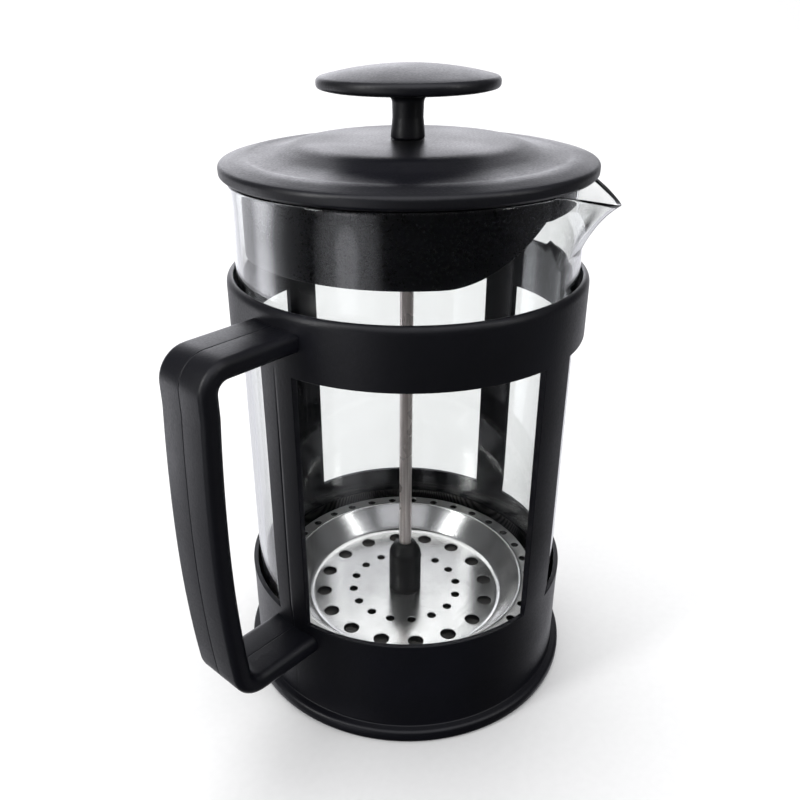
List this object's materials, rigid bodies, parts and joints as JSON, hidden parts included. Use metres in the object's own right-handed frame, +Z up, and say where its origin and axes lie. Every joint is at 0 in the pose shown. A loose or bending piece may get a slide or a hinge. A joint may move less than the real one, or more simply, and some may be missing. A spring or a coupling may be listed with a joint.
{
  "type": "french press",
  "caption": "Glass coffee press in a black moulded holder with a side handle, a spout, a round lid and a sliding filter plunger with a disc knob.",
  "frame": {"origin": "on the beaker's axis, in the plane of the holder's foot, at the flat middle pad of the underside", "axes": "+Z up along the plunger's rod; the handle points along -X"},
  "size_m": [0.1339, 0.1066, 0.1848],
  "materials": {
    "black_plastic": "fine matte grain, with a soft sheen on the tops",
    "gloss_black": "smooth gloss",
    "clear_glass": "clear, smooth",
    "polished_steel": "bright polish",
    "brushed_steel": "drawn, satin",
    "brass": "turned"
  },
  "bodies": {
    "holder": {"frame": "black_plastic", "handle": "black_plastic"},
    "beaker": {"glass_beaker": "clear_glass"},
    "guide": {"rod_guide_bush": "gloss_black"},
    "lid": {"lid_cover": "black_plastic", "lid_skirt": "black_plastic"},
    "plunger": {"knob": "black_plastic", "knob_insert": "brass", "plunger_rod": "brushed_steel", "filter_hub": "gloss_black", "filter_plate": "polished_steel", "edge_spring": "brushed_steel", "mesh_screen": "brushed_steel", "cross_plate": "polished_steel", "plate_nut": "brushed_steel"}
  },
  "joints": [
    {"name": "beaker_lift", "type": "slide", "parent": "holder", "child": "beaker", "axis": [0, 0, 1], "range_m": [0, 0.13]},
    {"name": "lid_lift", "type": "slide", "parent": "beaker", "child": "guide", "axis": [0, 0, 1], "range_m": [0, 0.15]},
    {"name": "lid_turn", "type": "hinge", "parent": "guide", "child": "lid", "pos_m": [0, 0, 0.16], "axis": [0, 0, 1], "continuous": true},
    {"name": "plunger_slide", "type": "slide", "parent": "guide", "child": "plunger", "axis": [0, 0, 1], "range_m": [0, 0.11]}
  ]
}
